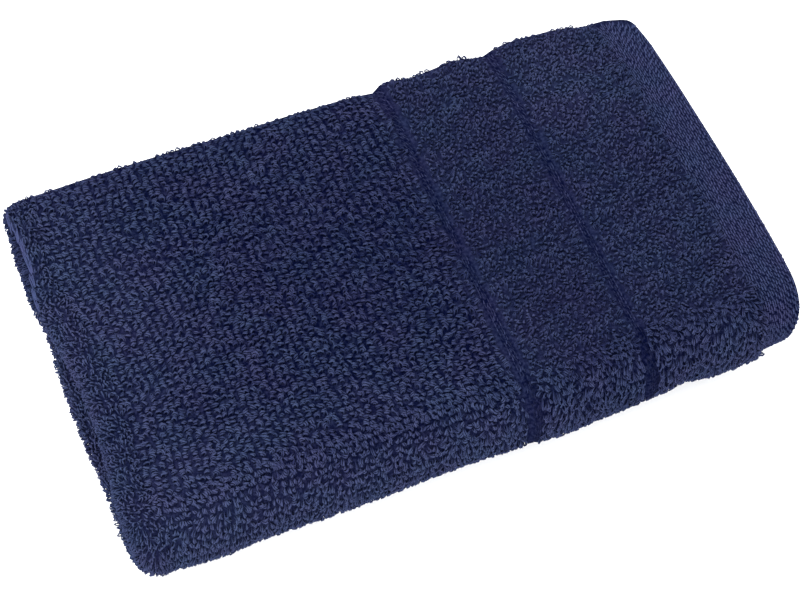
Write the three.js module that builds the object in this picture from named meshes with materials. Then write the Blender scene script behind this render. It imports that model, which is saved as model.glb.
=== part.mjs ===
import * as THREE from 'three';

// A dark blue terry washcloth, folded in half twice, in millimetres with +Z up.
// X runs along the folded length: the first fold is at -X and the two hems end at +X.
// Y runs across it: the second fold is at -Y and the selvedges lie open at +Y.
// The origin lies on the surface that the cloth rests on, under the middle of the stack.

// Folded size
const FOLDED_LENGTH = 250;
const FOLDED_WIDTH = 144.5;
const FOLDED_HEIGHT = 38;

// Layers of the stack, a little apart
const LAYER_COUNT = 4;
const LAYER_GAP = 1.2;
const TERRY = (FOLDED_HEIGHT - (LAYER_COUNT - 1) * LAYER_GAP) / LAYER_COUNT;

// Thickness of the cloth where it has no pile
const HEM = 3.4;
const HEM_EDGE = 2.2;
const BORDER_LINE = 4.2;
const SELVEDGE_EDGE = 3;

// Widths along the cloth, from one end: hem, then two woven lines in the pile
const HEM_WIDTH = 17;
const NEAR_LINE_PLACE = 62.5;
const FAR_LINE_PLACE = 107;
const LINE_WIDTH = 3;
const LINE_SLOPE = 1.6;

// The inner layer of each pair ends short of the outer one at the hem, and past it at the back
const INNER_SETBACK = 3;
const INNER_OVERHANG = 2;

// Radii of the two folds, at the middle of one layer and at the middle of a pair
const FIRST_FOLD_RADIUS = (TERRY + LAYER_GAP) / 2;
const SECOND_FOLD_RADIUS = TERRY + LAYER_GAP;

// The second fold turns about a line at mid height, near the front
const MIDDLE_HEIGHT = FOLDED_HEIGHT / 2;
const SECOND_FOLD_Y = -FOLDED_WIDTH / 2 + MIDDLE_HEIGHT;
const BACK_Y = FOLDED_WIDTH / 2;
const FLAT_RUN = BACK_Y - SECOND_FOLD_Y;

// The first fold turns about a line near the left end
const HEM_X = FOLDED_LENGTH / 2;
const FIRST_FOLD_X = -FOLDED_LENGTH / 2 + FIRST_FOLD_RADIUS + TERRY / 2;

// Route across the cloth's width: 0 at the lower selvedge, 1 at the upper one
const OUTER_TURN = Math.PI * (SECOND_FOLD_RADIUS + FIRST_FOLD_RADIUS);
const ROUTE_LENGTH = 2 * FLAT_RUN + OUTER_TURN;
const TURN_START = FLAT_RUN / ROUTE_LENGTH;
const TURN_END = 1 - TURN_START;

// Mesh steps
const OUTER_STEP = 13;
const INNER_STEP = 20;
const FLAT_STEP = 13;
const FIRST_FOLD_STEPS = 10;
const SECOND_FOLD_STEPS = 14;

// How far the first fold lies in from the left end, along the route across the width
const FIRST_FOLD_SHIFT = [
  { place: 0.0, value: 2.5 },
  { place: 0.11, value: 0.6 },
  { place: 0.16, value: 0.4 },
  { place: 0.2, value: -0.7 },
  { place: 0.29, value: -1.2 },
  { place: 0.34, value: -0.8 },
  { place: 0.4, value: -0.9 },
  { place: 0.5, value: -1.0 },
  { place: 0.58, value: -2.0 },
  { place: 0.64, value: 0.2 },
  { place: 0.7, value: 1.9 },
  { place: 0.75, value: 1.9 },
  { place: 0.81, value: 0.0 },
  { place: 0.87, value: -2.7 },
  { place: 0.93, value: -2.0 },
  { place: 0.975, value: -1.0 },
  { place: 1.0, value: -1.3 },
];

// How far the hem's edge lies out from the right end, along the route across the width
const HEM_SHIFT = [
  { place: 0.0, value: -5.5 },
  { place: 0.12, value: -4.0 },
  { place: 0.3, value: -4.6 },
  { place: 0.45, value: -5.6 },
  { place: 0.5, value: -4.2 },
  { place: 0.54, value: -1.2 },
  { place: 0.6, value: 0.0 },
  { place: 0.72, value: -0.2 },
  { place: 0.85, value: -1.6 },
  { place: 0.95, value: -2.9 },
  { place: 1.0, value: -4.5 },
];

// How far the back edge lies out, along the length
const BACK_SHIFT = [
  { place: -125, value: -0.8 },
  { place: -80, value: 0.2 },
  { place: -20, value: -0.1 },
  { place: 16, value: -0.5 },
  { place: 45, value: 1.2 },
  { place: 61, value: -0.4 },
  { place: 78, value: 1.3 },
  { place: 100, value: -0.6 },
  { place: 115, value: -1.4 },
  { place: 125, value: -2.7 },
];

// How far the front edge lies back, along the length
const FRONT_SHIFT = [
  { place: -125, value: 0.5 },
  { place: -114, value: 0.7 },
  { place: -97, value: -0.7 },
  { place: -82, value: 0.3 },
  { place: -55, value: -0.3 },
  { place: -35, value: -0.1 },
  { place: -18, value: 0.5 },
  { place: 0, value: 0.5 },
  { place: 10, value: 0.0 },
  { place: 20, value: -0.4 },
  { place: 30, value: -1.0 },
  { place: 40, value: -0.3 },
  { place: 55, value: 0.3 },
  { place: 61, value: 0.4 },
  { place: 66, value: 0.8 },
  { place: 71, value: 1.1 },
  { place: 77, value: 2.2 },
  { place: 90, value: 0.7 },
  { place: 100, value: 0.9 },
  { place: 125, value: 2.4 },
];

// Soft rises and dips of the top, each fading out over its reach
const TOP_RELIEF = [
  { x: -100, y: 40, reachX: 40, reachY: 38, rise: -0.9 },
  { x: -62, y: -22, reachX: 55, reachY: 40, rise: 0.3 },
  { x: -30, y: 48, reachX: 44, reachY: 34, rise: -0.5 },
  { x: 18, y: 5, reachX: 13, reachY: 90, rise: -0.9 },
  { x: 41, y: -10, reachX: 22, reachY: 44, rise: 0.3 },
  { x: 62, y: 15, reachX: 12, reachY: 80, rise: -0.7 },
  { x: 84, y: -22, reachX: 24, reachY: 40, rise: 0.3 },
  { x: 108, y: 58, reachX: 34, reachY: 30, rise: -1.3 },
];

// The hem sinks towards the layer below it, and the top rounds off at the back
const HEM_SAG = 1.5;
const HEM_SAG_START = 98;
const HEM_SAG_REACH = 24;
const BACK_SAG = 1.6;
const BACK_SAG_REACH = 16;

// How far in from each side its shifts fade out
const END_FADE = { start: 62, reach: 52 };
const HEM_FADE = { start: 96, reach: 26 };
const SIDE_FADE = { start: 8, reach: 50 };

// Soft step from 0 to 1
function softStep(share) {
  const held = Math.min(Math.max(share, 0), 1);
  return held * held * (3 - 2 * held);
}

// Smooth curve through a table's rows
function follow(table, place) {
  const last = table.length - 1;
  let row = 0;
  while (row < last - 1 && place > table[row + 1].place) {
    row += 1;
  }
  const slopeAt = (index) => {
    const before = table[Math.max(index - 1, 0)];
    const after = table[Math.min(index + 1, last)];
    return (after.value - before.value) / (after.place - before.place);
  };
  const start = table[row];
  const end = table[row + 1];
  const span = end.place - start.place;
  const share = Math.min(Math.max((place - start.place) / span, 0), 1);
  const rise = softStep(share);
  const startPull = share * (1 - share) * (1 - share) * span * slopeAt(row);
  const endPull = share * share * (1 - share) * span * slopeAt(row + 1);
  return start.value + (end.value - start.value) * rise + startPull - endPull;
}

// Straight lines through a table's rows, level past the last one
function between(table, place) {
  const next = table.findIndex((row) => row.place >= place);
  if (next === 0) {
    return table[0].value;
  }
  if (next < 0) {
    return table[table.length - 1].value;
  }
  const start = table[next - 1];
  const end = table[next];
  const share = (place - start.place) / (end.place - start.place);
  return start.value + (end.value - start.value) * share;
}

// Thickness along the cloth from one end, ending in full pile
const END_THICKNESS = [
  { place: 0, value: HEM_EDGE },
  { place: 0.8, value: HEM },
  { place: HEM_WIDTH / 2, value: HEM },
  { place: HEM_WIDTH, value: HEM },
  { place: HEM_WIDTH + 1.2, value: TERRY - 1.2 },
  { place: HEM_WIDTH + 3.5, value: TERRY },
  ...lineRows(NEAR_LINE_PLACE),
  ...lineRows(FAR_LINE_PLACE),
];

// Thickness from a selvedge inwards
const SIDE_THICKNESS = [
  { place: 0, value: SELVEDGE_EDGE },
  { place: 1.2, value: SELVEDGE_EDGE + 2.2 },
  { place: 4, value: TERRY - 0.9 },
  { place: 8, value: TERRY },
];

// A woven line: a flat floor between two sloping rims of pile
function lineRows(place) {
  const floor = LINE_WIDTH / 2;
  const rim = floor + LINE_SLOPE;
  return [
    { place: place - rim, value: TERRY },
    { place: place - floor, value: BORDER_LINE },
    { place: place + floor, value: BORDER_LINE },
    { place: place + rim, value: TERRY },
  ];
}

// Places to cut the mesh: every row of a table, with long gaps split evenly
function stations(table, end, step) {
  const places = table.map((row) => row.place);
  places.push(end);
  const cuts = [places[0]];
  for (let index = 1; index < places.length; index += 1) {
    const start = places[index - 1];
    const parts = Math.max(1, Math.ceil((places[index] - start) / step));
    for (let part = 1; part <= parts; part += 1) {
      cuts.push(start + ((places[index] - start) * part) / parts);
    }
  }
  return cuts;
}

// Columns along the cloth's length: outer layer, first fold, inner layer
function clothColumns() {
  const outerRun = HEM_X - FIRST_FOLD_X;
  const innerRun = outerRun - INNER_SETBACK;
  const outer = stations(END_THICKNESS, outerRun, OUTER_STEP).map((place) => ({
    x: HEM_X - place,
    turn: 0,
    thickness: between(END_THICKNESS, place),
  }));
  const fold = [];
  for (let step = 1; step < FIRST_FOLD_STEPS; step += 1) {
    fold.push({ x: FIRST_FOLD_X, turn: (Math.PI * step) / FIRST_FOLD_STEPS, thickness: TERRY });
  }
  const inner = stations(END_THICKNESS, innerRun, INNER_STEP).map((place) => ({
    x: HEM_X - INNER_SETBACK - place,
    turn: Math.PI,
    thickness: between(END_THICKNESS, place),
  }));
  return [...outer, ...fold, ...inner.reverse()];
}

// Rows across the cloth's width: lower run, second fold, upper run
function clothRows() {
  const flat = stations(SIDE_THICKNESS, FLAT_RUN, FLAT_STEP).map((place) => ({
    distance: place,
    limit: between(SIDE_THICKNESS, place),
  }));
  const lower = flat.map(({ distance, limit }) => ({
    place: distance / ROUTE_LENGTH,
    y: BACK_Y - distance,
    turn: 0,
    limit,
  }));
  const fold = [];
  for (let step = 1; step < SECOND_FOLD_STEPS; step += 1) {
    const share = step / SECOND_FOLD_STEPS;
    fold.push({
      place: TURN_START + (TURN_END - TURN_START) * share,
      y: SECOND_FOLD_Y,
      turn: Math.PI * share,
      limit: TERRY,
    });
  }
  const upper = flat.map(({ distance, limit }) => ({
    place: 1 - distance / ROUTE_LENGTH,
    y: BACK_Y - distance,
    turn: Math.PI,
    limit,
  }));
  return [...lower, ...fold, ...upper.reverse()];
}

// Height that the top gains at a place
function topRelief(x, y) {
  let height = 0;
  for (const { x: middleX, y: middleY, reachX, reachY, rise } of TOP_RELIEF) {
    const away = Math.hypot((x - middleX) / reachX, (y - middleY) / reachY);
    height += rise * softStep(1 - away);
  }
  return height;
}

// Unevenness of the stack: its outline, its sagging hem and its top
function settle(x, y, z, place) {
  const leftShare = softStep((-END_FADE.start - x) / END_FADE.reach);
  const hemShare = softStep((x - HEM_FADE.start) / HEM_FADE.reach);
  const backShare = softStep((y - SIDE_FADE.start) / SIDE_FADE.reach);
  const frontShare = softStep((-SIDE_FADE.start - y) / SIDE_FADE.reach);
  const sagShare = softStep((x - HEM_SAG_START) / HEM_SAG_REACH);
  const backSagShare = softStep((y - BACK_Y + BACK_SAG_REACH) / BACK_SAG_REACH);
  const topShare = softStep((z - MIDDLE_HEIGHT) / MIDDLE_HEIGHT);
  const sag = (HEM_SAG * sagShare * z) / FOLDED_HEIGHT + BACK_SAG * backSagShare * topShare;
  return new THREE.Vector3(
    x + follow(FIRST_FOLD_SHIFT, place) * leftShare + follow(HEM_SHIFT, place) * hemShare,
    y + follow(BACK_SHIFT, x) * backShare + follow(FRONT_SHIFT, x) * frontShare,
    z + topRelief(x, y) * topShare - sag,
  );
}

// One point of the cloth's surface, on the face outside (+1) or inside (-1) the first fold
function clothPoint(column, row, side) {
  const thickness = Math.min(column.thickness, row.limit);
  const fromPairMiddle = FIRST_FOLD_RADIUS + (side * thickness) / 2;
  const x = column.x - fromPairMiddle * Math.sin(column.turn);
  const fromFoldLine = SECOND_FOLD_RADIUS + fromPairMiddle * Math.cos(column.turn);
  const overhang = INNER_OVERHANG * softStep(row.y / BACK_Y) * softStep(column.turn / Math.PI);
  const y = row.y + overhang - fromFoldLine * Math.sin(row.turn);
  const z = MIDDLE_HEIGHT - fromFoldLine * Math.cos(row.turn);
  return settle(x, y, z, row.place);
}

// The folded cloth as one closed sheet: two faces, joined round all four edges
function foldedCloth() {
  const columns = clothColumns();
  const rows = clothRows();
  const positions = [];
  for (const side of [1, -1]) {
    for (const column of columns) {
      for (const row of rows) {
        positions.push(...clothPoint(column, row, side).toArray());
      }
    }
  }
  const faceSize = columns.length * rows.length;
  const outside = (column, row) => column * rows.length + row;
  const inside = (column, row) => faceSize + outside(column, row);
  const triangles = [];
  const quad = (a, b, c, d) => triangles.push(a, b, c, a, c, d);
  const lastColumn = columns.length - 1;
  const lastRow = rows.length - 1;
  for (let i = 0; i < lastColumn; i += 1) {
    for (let j = 0; j < lastRow; j += 1) {
      quad(outside(i, j), outside(i, j + 1), outside(i + 1, j + 1), outside(i + 1, j));
      quad(inside(i, j), inside(i + 1, j), inside(i + 1, j + 1), inside(i, j + 1));
    }
    quad(outside(i, 0), outside(i + 1, 0), inside(i + 1, 0), inside(i, 0));
    quad(outside(i + 1, lastRow), outside(i, lastRow), inside(i, lastRow), inside(i + 1, lastRow));
  }
  for (let j = 0; j < lastRow; j += 1) {
    quad(outside(0, j + 1), outside(0, j), inside(0, j), inside(0, j + 1));
    const below = [outside(lastColumn, j), inside(lastColumn, j)];
    const above = [outside(lastColumn, j + 1), inside(lastColumn, j + 1)];
    quad(below[0], above[0], above[1], below[1]);
  }
  const geometry = new THREE.BufferGeometry();
  geometry.setAttribute('position', new THREE.Float32BufferAttribute(positions, 3));
  geometry.setIndex(triangles);
  return geometry;
}

// Bring the middle of the stack's base to the origin
function stood(geometry) {
  geometry.computeBoundingBox();
  const middle = geometry.boundingBox.getCenter(new THREE.Vector3());
  geometry.translate(-middle.x, -middle.y, -geometry.boundingBox.min.z);
  geometry.computeVertexNormals();
  return geometry;
}

const terry = new THREE.MeshStandardMaterial({ color: 0x2b3259, roughness: 0.95, metalness: 0 });
const washcloth = new THREE.Mesh(stood(foldedCloth()), terry);
washcloth.name = 'washcloth';

const part = new THREE.Group();
part.add(washcloth);

export default part;
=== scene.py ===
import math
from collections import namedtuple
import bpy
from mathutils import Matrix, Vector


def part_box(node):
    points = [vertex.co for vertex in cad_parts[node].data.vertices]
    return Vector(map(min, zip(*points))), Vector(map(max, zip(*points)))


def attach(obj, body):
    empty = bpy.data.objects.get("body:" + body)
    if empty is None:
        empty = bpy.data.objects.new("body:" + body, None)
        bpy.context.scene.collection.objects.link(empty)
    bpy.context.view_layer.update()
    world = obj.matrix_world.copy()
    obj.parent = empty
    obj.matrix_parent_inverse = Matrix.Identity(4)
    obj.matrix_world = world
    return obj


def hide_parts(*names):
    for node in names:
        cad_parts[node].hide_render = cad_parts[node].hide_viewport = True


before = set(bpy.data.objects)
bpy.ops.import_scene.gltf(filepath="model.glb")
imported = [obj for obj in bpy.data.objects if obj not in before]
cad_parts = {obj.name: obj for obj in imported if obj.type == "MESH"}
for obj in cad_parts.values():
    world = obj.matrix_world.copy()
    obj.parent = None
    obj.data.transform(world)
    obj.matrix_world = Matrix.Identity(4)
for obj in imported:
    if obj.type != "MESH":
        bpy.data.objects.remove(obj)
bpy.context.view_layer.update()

# A dark blue terry washcloth, folded in half twice: woven ground, loop pile, hem and border lines.
# Sizes of the cloth are in millimetres, turned into metres when a mesh is made. Places run along the
# cloth from the outer hem round the first fold to the inner hem, and across it from the lower back
# edge round the second fold to the upper back edge.

from types import SimpleNamespace as Values
import bpy
import numpy as np
from mathutils import Matrix, Vector

MM = 0.001
NODE = "washcloth"
BODY = "root"

# Faces of the cloth: outside and inside of the first fold
OUTER = 1
INNER = -1

# Folded size, as in the solid
FOLDED_LENGTH = 250
FOLDED_WIDTH = 144.5
FOLDED_HEIGHT = 38
LAYER_COUNT = 4
LAYER_GAP = 1.2
TERRY = (FOLDED_HEIGHT - (LAYER_COUNT - 1) * LAYER_GAP) / LAYER_COUNT
HEM_WIDTH = 17
NEAR_LINE = 62.5
FAR_LINE = 107
LINE_PLACES = (NEAR_LINE, FAR_LINE)
LINE_WIDTH = 3
INNER_SETBACK = 3
INNER_OVERHANG = 2

# The hem's round corners: radius, and how far in from the sides the cloth is drawn together
CORNER_RADIUS = 3.0
CORNER_REACH = 10.0

# Folds: radii at the middle of a layer and of a pair, and the lines that they turn about
FIRST_RADIUS = (TERRY + LAYER_GAP) / 2
SECOND_RADIUS = TERRY + LAYER_GAP
MIDDLE_HEIGHT = FOLDED_HEIGHT / 2
SECOND_FOLD_Y = -FOLDED_WIDTH / 2 + MIDDLE_HEIGHT
BACK_Y = FOLDED_WIDTH / 2
HEM_X = FOLDED_LENGTH / 2
FIRST_FOLD_X = -FOLDED_LENGTH / 2 + FIRST_RADIUS + TERRY / 2

# Runs across the cloth (lower, fold, upper) and along it (outer, fold, inner)
FLAT_RUN = BACK_Y - SECOND_FOLD_Y
OUTER_TURN = math.pi * (SECOND_RADIUS + FIRST_RADIUS)
CLOTH_WIDTH = 2 * FLAT_RUN + OUTER_TURN
OUTER_RUN = HEM_X - FIRST_FOLD_X
FIRST_TURN = math.pi * FIRST_RADIUS
CLOTH_LENGTH = 2 * OUTER_RUN + FIRST_TURN - INNER_SETBACK

# How far before and after the second fold's run its front begins and ends, and over what width
FRONT_START = 4.0
FRONT_FINISH = 6.0
FRONT_FADE = 20.0

# Thickness of the cloth below its loops, on the body and between the lines, of the hem and the lines
# with their raised threads and without, and of the edges
MAT = 4.9
BAND_MAT = 5.5
HEM = 3.4
HEM_FLOOR = 2.5
HEM_EDGE = 2.2
LINE = 5.2
LINE_FLOOR = 4.5
SELVEDGE = 3.0
SELVEDGE_EDGE = 1.6
# How much thicker the lines' ground is on the front, where the pile lies pressed
LINE_FRONT_RISE = 1.7
# A border line's floor stops this far inside its width, and its rims rise over this width
LINE_INSET = 0.2
RIM_WIDTH = 0.9

# How far the first fold lies in from the left end: share of the way across, shift
FIRST_FOLD_SHIFT = [
    (0.0, 2.5), (0.11, 0.6), (0.16, 0.4), (0.2, -0.7), (0.29, -1.2), (0.34, -0.8), (0.4, -0.9),
    (0.5, -1.0), (0.58, -2.0), (0.64, 0.2), (0.7, 1.9), (0.75, 1.9), (0.81, 0.0), (0.87, -2.7),
    (0.93, -2.0), (0.975, -1.0), (1.0, -1.3),
]
# How far the hem's edge lies out from the right end: share of the way across, shift
HEM_SHIFT = [
    (0.0, -5.5), (0.12, -4.0), (0.3, -4.6), (0.45, -5.6), (0.5, -4.2), (0.54, -1.2),
    (0.6, 0.0), (0.72, -0.2), (0.85, -1.6), (0.95, -2.9), (1.0, -4.5),
]
# How far the back edge lies out: x, shift
BACK_SHIFT = [
    (-125, -0.8), (-80, 0.2), (-20, -0.1), (16, -0.5), (45, 1.2), (61, -0.4), (78, 1.3),
    (100, -0.6), (115, -1.4), (125, -2.7),
]
# How far the top layer's back edge bulges beside the border lines: x, shift
BACK_BULGE = [
    (-125, 1.5), (-112, 0.9), (-85, 0.8), (-40, 0.5), (-15, 0.8), (3, 0.7), (8, 0.9),
    (14.5, -0.9), (19.5, 1.9), (24, 2.0), (31, 0.0), (42, 0.1), (51, 1.5), (58, 0.0), (65, 1.8),
    (72, 1.9), (80, 1.0), (93, 1.6), (103, 0.2), (113, 1.5), (125, 0.0),
]
# How far the front edge lies back: x, shift
FRONT_SHIFT = [
    (-125, 0.5), (-114, 0.7), (-97, -0.7), (-82, 0.3), (-55, -0.3), (-35, -0.1), (-18, 0.5),
    (0, 0.5), (10, 0.0), (20, -0.4), (30, -1.0), (40, -0.3), (55, 0.3), (61, 0.4), (66, 0.8),
    (71, 1.1), (77, 2.2), (90, 0.7), (100, 0.9), (125, 2.4),
]
# Where these shifts set in, from the middle of the stack, and over what reach
Fade = namedtuple("Fade", "start reach")
END_FADE = Fade(62, 52)
HEM_FADE = Fade(96, 26)
SIDE_FADE = Fade(8, 50)
# Soft rises and dips of the top: x, y, reach along x, reach along y, rise
TOP_RELIEF = [
    (-100, 40, 40, 38, -0.9), (-62, -22, 55, 40, 0.3), (-30, 48, 44, 34, -0.5),
    (18, 5, 13, 90, -0.9), (41, -10, 22, 44, 0.3), (62, 15, 12, 80, -0.7),
    (84, -22, 24, 40, 0.3), (108, 58, 34, 30, -1.3),
]
# How far the hem and the top layer's back edge sag, and where
HEM_SAG = 1.5
HEM_SAG_FADE = Fade(98, 24)
BACK_SAG = 1.6
BACK_SAG_FADE = Fade(BACK_Y - 16, 16)

# Random draws: loops and threads are made in a fixed order from one seed
randomness = np.random.default_rng(seed=20)


# Cloth shape

def soft_step(share):
    held = np.clip(share, 0.0, 1.0)
    return held * held * (3 - 2 * held)


def follow(table, place):
    """Smooth curve through a table's rows."""
    places, values = np.array(table, dtype=float).T
    last = len(places) - 1
    before = np.maximum(np.arange(last + 1) - 1, 0)
    after = np.minimum(np.arange(last + 1) + 1, last)
    slopes = (values[after] - values[before]) / (places[after] - places[before])
    row = np.clip(np.searchsorted(places, place) - 1, 0, last - 1)
    span = places[row + 1] - places[row]
    share = np.clip((place - places[row]) / span, 0.0, 1.0)
    start_pull = share * (1 - share) ** 2 * span * slopes[row]
    end_pull = share ** 2 * (1 - share) * span * slopes[row + 1]
    return values[row] + (values[row + 1] - values[row]) * soft_step(share) + start_pull - end_pull


def between(table, place):
    """Straight lines between a table's rows."""
    places, values = np.array(table, dtype=float).T
    return np.interp(place, places, values)


def soft_spots(table, x, y):
    """Sum of soft ellipses: x, y, reach along x, reach along y, amount."""
    total = np.zeros_like(x)
    for middle_x, middle_y, reach_x, reach_y, amount in table:
        total += amount * soft_step(1 - np.hypot((x - middle_x) / reach_x, (y - middle_y) / reach_y))
    return total


def fade(place, limits):
    return soft_step((place - limits.start) / limits.reach)


def settle(x, y, z, place):
    """Unevenness of the stack: its outline, its sagging hem and its top."""
    top_share = soft_step((z - MIDDLE_HEIGHT) / MIDDLE_HEIGHT)
    sag = HEM_SAG * fade(x, HEM_SAG_FADE) * z / FOLDED_HEIGHT
    sag = sag + BACK_SAG * fade(y, BACK_SAG_FADE) * top_share
    left_shift = follow(FIRST_FOLD_SHIFT, place) * fade(-x, END_FADE)
    shift_x = left_shift + follow(HEM_SHIFT, place) * fade(x, HEM_FADE)
    back_shift = follow(BACK_SHIFT, x) + follow(BACK_BULGE, x) * top_share
    shift_y = back_shift * fade(y, SIDE_FADE) + follow(FRONT_SHIFT, x) * fade(-y, SIDE_FADE)
    relief = soft_spots(TOP_RELIEF, x, y) * top_share
    return np.stack([x + shift_x, y + shift_y, z + relief - sag], axis=-1)


def from_end(along):
    return np.minimum(along, CLOTH_LENGTH - along)


def from_side(across):
    return np.minimum(across, CLOTH_WIDTH - across)


def raw_turn(along):
    """Angle of the first fold at a place along the cloth, below 0 and over pi on its flat layers."""
    return (along - OUTER_RUN) / FIRST_RADIUS


def round_corners(along, across):
    """Places across the cloth, drawn in towards its ends so that the hem's corners are round."""
    nearness = np.clip(1 - from_end(along) / CORNER_RADIUS, 0.0, 1.0)
    inset = CORNER_RADIUS * (1 - np.sqrt(1 - nearness ** 2))
    near_start = np.clip(1 - across / CORNER_REACH, 0.0, 1.0)
    near_finish = np.clip(1 - (CLOTH_WIDTH - across) / CORNER_REACH, 0.0, 1.0)
    return across + inset * (near_start - near_finish)


def on_front(across):
    """Share of the second fold: 0 on the flat layers, 1 round the front."""
    beyond_lower = soft_step((across - FLAT_RUN + FRONT_START) / FRONT_FADE)
    return beyond_lower * soft_step((CLOTH_WIDTH - FLAT_RUN + FRONT_FINISH - across) / FRONT_FADE)


def cloth_point(along, across, lift):
    """A point at a height above the cloth's middle surface, outside the first fold, in mm."""
    along = np.asarray(along, dtype=float)
    across = round_corners(along, np.asarray(across, dtype=float))
    turn = np.clip(raw_turn(along), 0.0, math.pi)
    inner_x = HEM_X - INNER_SETBACK - (CLOTH_LENGTH - along)
    column_x = np.where(along < OUTER_RUN, HEM_X - along, FIRST_FOLD_X)
    column_x = np.where(along > OUTER_RUN + FIRST_TURN, inner_x, column_x)
    fold = np.clip((across - FLAT_RUN) / OUTER_TURN, 0.0, 1.0) * math.pi
    row_y = np.where(across < FLAT_RUN, BACK_Y - across, SECOND_FOLD_Y)
    row_y = np.where(across > FLAT_RUN + OUTER_TURN, BACK_Y - (CLOTH_WIDTH - across), row_y)
    from_pair = FIRST_RADIUS + lift
    from_fold = SECOND_RADIUS + from_pair * np.cos(turn)
    overhang = INNER_OVERHANG * soft_step(row_y / BACK_Y) * soft_step(turn / math.pi)
    x = column_x - from_pair * np.sin(turn)
    y = row_y + overhang - from_fold * np.sin(fold)
    z = MIDDLE_HEIGHT - from_fold * np.cos(fold)
    return settle(x, y, z, across / CLOTH_WIDTH)


def unit(vectors):
    return vectors / np.linalg.norm(vectors, axis=-1, keepdims=True)


def cloth_frame(along, across, lift):
    """Point, directions along and across, and outward normal of the surface at a lift."""
    step = 0.2
    point = cloth_point(along, across, lift)
    ahead = unit(cloth_point(along + step, across, lift) - cloth_point(along - step, across, lift))
    beside = cloth_point(along, across + step, lift) - cloth_point(along, across - step, lift)
    normal = unit(np.cross(beside, ahead))
    return point, ahead, np.cross(ahead, normal), normal * np.sign(lift)[..., None]


# Thickness and tone of the woven ground

def line_rows(level, rim_level):
    """Rows of a table for both border lines: their floors, and their rims a little further out."""
    floor = LINE_WIDTH / 2 - LINE_INSET
    rim = floor + RIM_WIDTH
    steps = [(-rim, rim_level), (-floor, level), (floor, level), (rim, rim_level)]
    return [(place + step, value) for place in LINE_PLACES for step, value in steps]


# Thickness of the ground: distance from its end or side, thickness
GROUND_THICKNESS = [
    (0, HEM_EDGE), (0.8, HEM_FLOOR), (HEM_WIDTH - 0.6, HEM_FLOOR), (HEM_WIDTH + 1.4, BAND_MAT),
    *line_rows(LINE_FLOOR, BAND_MAT), (FAR_LINE + 8, MAT),
]
SIDE_THICKNESS = [(0, SELVEDGE_EDGE), (1.2, SELVEDGE), (4.0, MAT)]
# Share of a border line: distance from the cloth's end, 1 on its floor and 0 outside its rims
LINE_SHARES = line_rows(1, 0)

# How light the ground is: distance from its end, tone. The low tones are painted shade: 0 on the matted
# layer between the roots of the loops and on the line floors, and low between the hem's threads, standing
# in for the shade deep in the pile and weave
MAT_SHADE_TONE = 0.0
BAND_TONE = 0.12
GROUND_TONE = [
    (0, 0.5), (1.0, 0.05), (HEM_WIDTH - 0.6, 0.05), (HEM_WIDTH + 1.0, BAND_TONE),
    *line_rows(MAT_SHADE_TONE, BAND_TONE), (FAR_LINE + 8, MAT_SHADE_TONE),
]

# Painted light and shade: areas of the cloth made lighter or darker in colour where more or less light
# falls on it: x, y, reach along x, reach along y, change of tone
PAINTED_SHADING = [
    (12, 8, 100, 66, -0.18), (-49, 22, 40, 40, -0.04), (48, -38, 34, 26, -0.15),
    (90, -48, 20, 20, -0.12), (-118, 20, 60, 100, 0.31), (-70, -64, 90, 44, 0.24),
    (-112, -62, 50, 40, 0.24), (0, -62, 50, 30, 0.10), (90, -62, 34, 24, 0.12),
    (30, 28, 22, 26, 0.06), (74, 0, 26, 26, 0.04), (84, 50, 36, 36, 0.26),
    (-60, -57, 110, 9, -0.17), (70, -57, 110, 9, -0.20), (-20, -72, 170, 8, 0.11),
]
# Share of an area's painted lightening that also reaches down between the loops, as painted light in the
# shaded gaps
PAINTED_GAP_LIGHT = 0.3

# Parted pile on the outside of the first fold: share of the way across, how wide it opens
PARTINGS = [
    (0.15, 0.0), (0.175, 0.5), (0.2, 0.0), (0.235, 0.0), (0.26, 0.5), (0.285, 0.0), (0.375, 0.0),
    (0.4, 1.0), (0.425, 0.0), (0.6, 0.0), (0.63, 0.3), (0.66, 0.0), (0.835, 0.0), (0.86, 0.8),
    (0.88, 1.0), (0.96, 1.0), (0.97, 1.3), (0.98, 1.0), (0.99, 0.0),
]
# Angle round the first fold at which the pile parts: share of the way across, degrees
PARTED_TURNS = [
    (0.0, 82), (0.3, 82), (0.4, 64), (0.6, 60), (0.8, 78), (0.85, 78), (0.866, 64), (0.885, 50),
    (0.905, 40), (0.93, 41), (0.965, 57), (1.0, 62),
]
# The parted line's waver, in radians and radians per millimetre
WAVER = Values(height=0.03, rate=0.37, phase=1.0)
# Half the width of a parting, and the bare ridge in it: its rise and tone, with reaches in half widths
HALF_PARTING = math.radians(6)
RIDGE = Values(rise=0.9, rise_reach=1.8, tone=0.3, tone_reach=1.6)


def parted_turn(across):
    """Angle round the first fold at which the pile parts."""
    waver = WAVER.height * np.sin(across * WAVER.rate + WAVER.phase)
    return np.radians(between(PARTED_TURNS, across / CLOTH_WIDTH)) + waver


def parting(along, across):
    """Signed distance from the parted line in half widths, and how open it is there."""
    opening = between(PARTINGS, across / CLOTH_WIDTH)
    return (raw_turn(along) - parted_turn(across)) / HALF_PARTING, opening


def ground_half(along, across):
    """Half the thickness of the woven ground."""
    end = from_end(along)
    thickness = np.minimum(between(GROUND_THICKNESS, end), between(SIDE_THICKNESS, from_side(across)))
    front = on_front(across)
    thickest = BAND_MAT + (MAT - BAND_MAT) * front
    rise = LINE_FRONT_RISE * front * between(LINE_SHARES, end)
    return (np.minimum(thickness, thickest) + rise) / 2


def outer_lift(along, across):
    """Height of the ground's outer face over the middle surface, raised where the pile parts."""
    distance, opening = parting(along, across)
    rise = RIDGE.rise * opening * soft_step(RIDGE.rise_reach - np.abs(distance))
    return ground_half(along, across) + rise


# Where the stack stands

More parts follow.
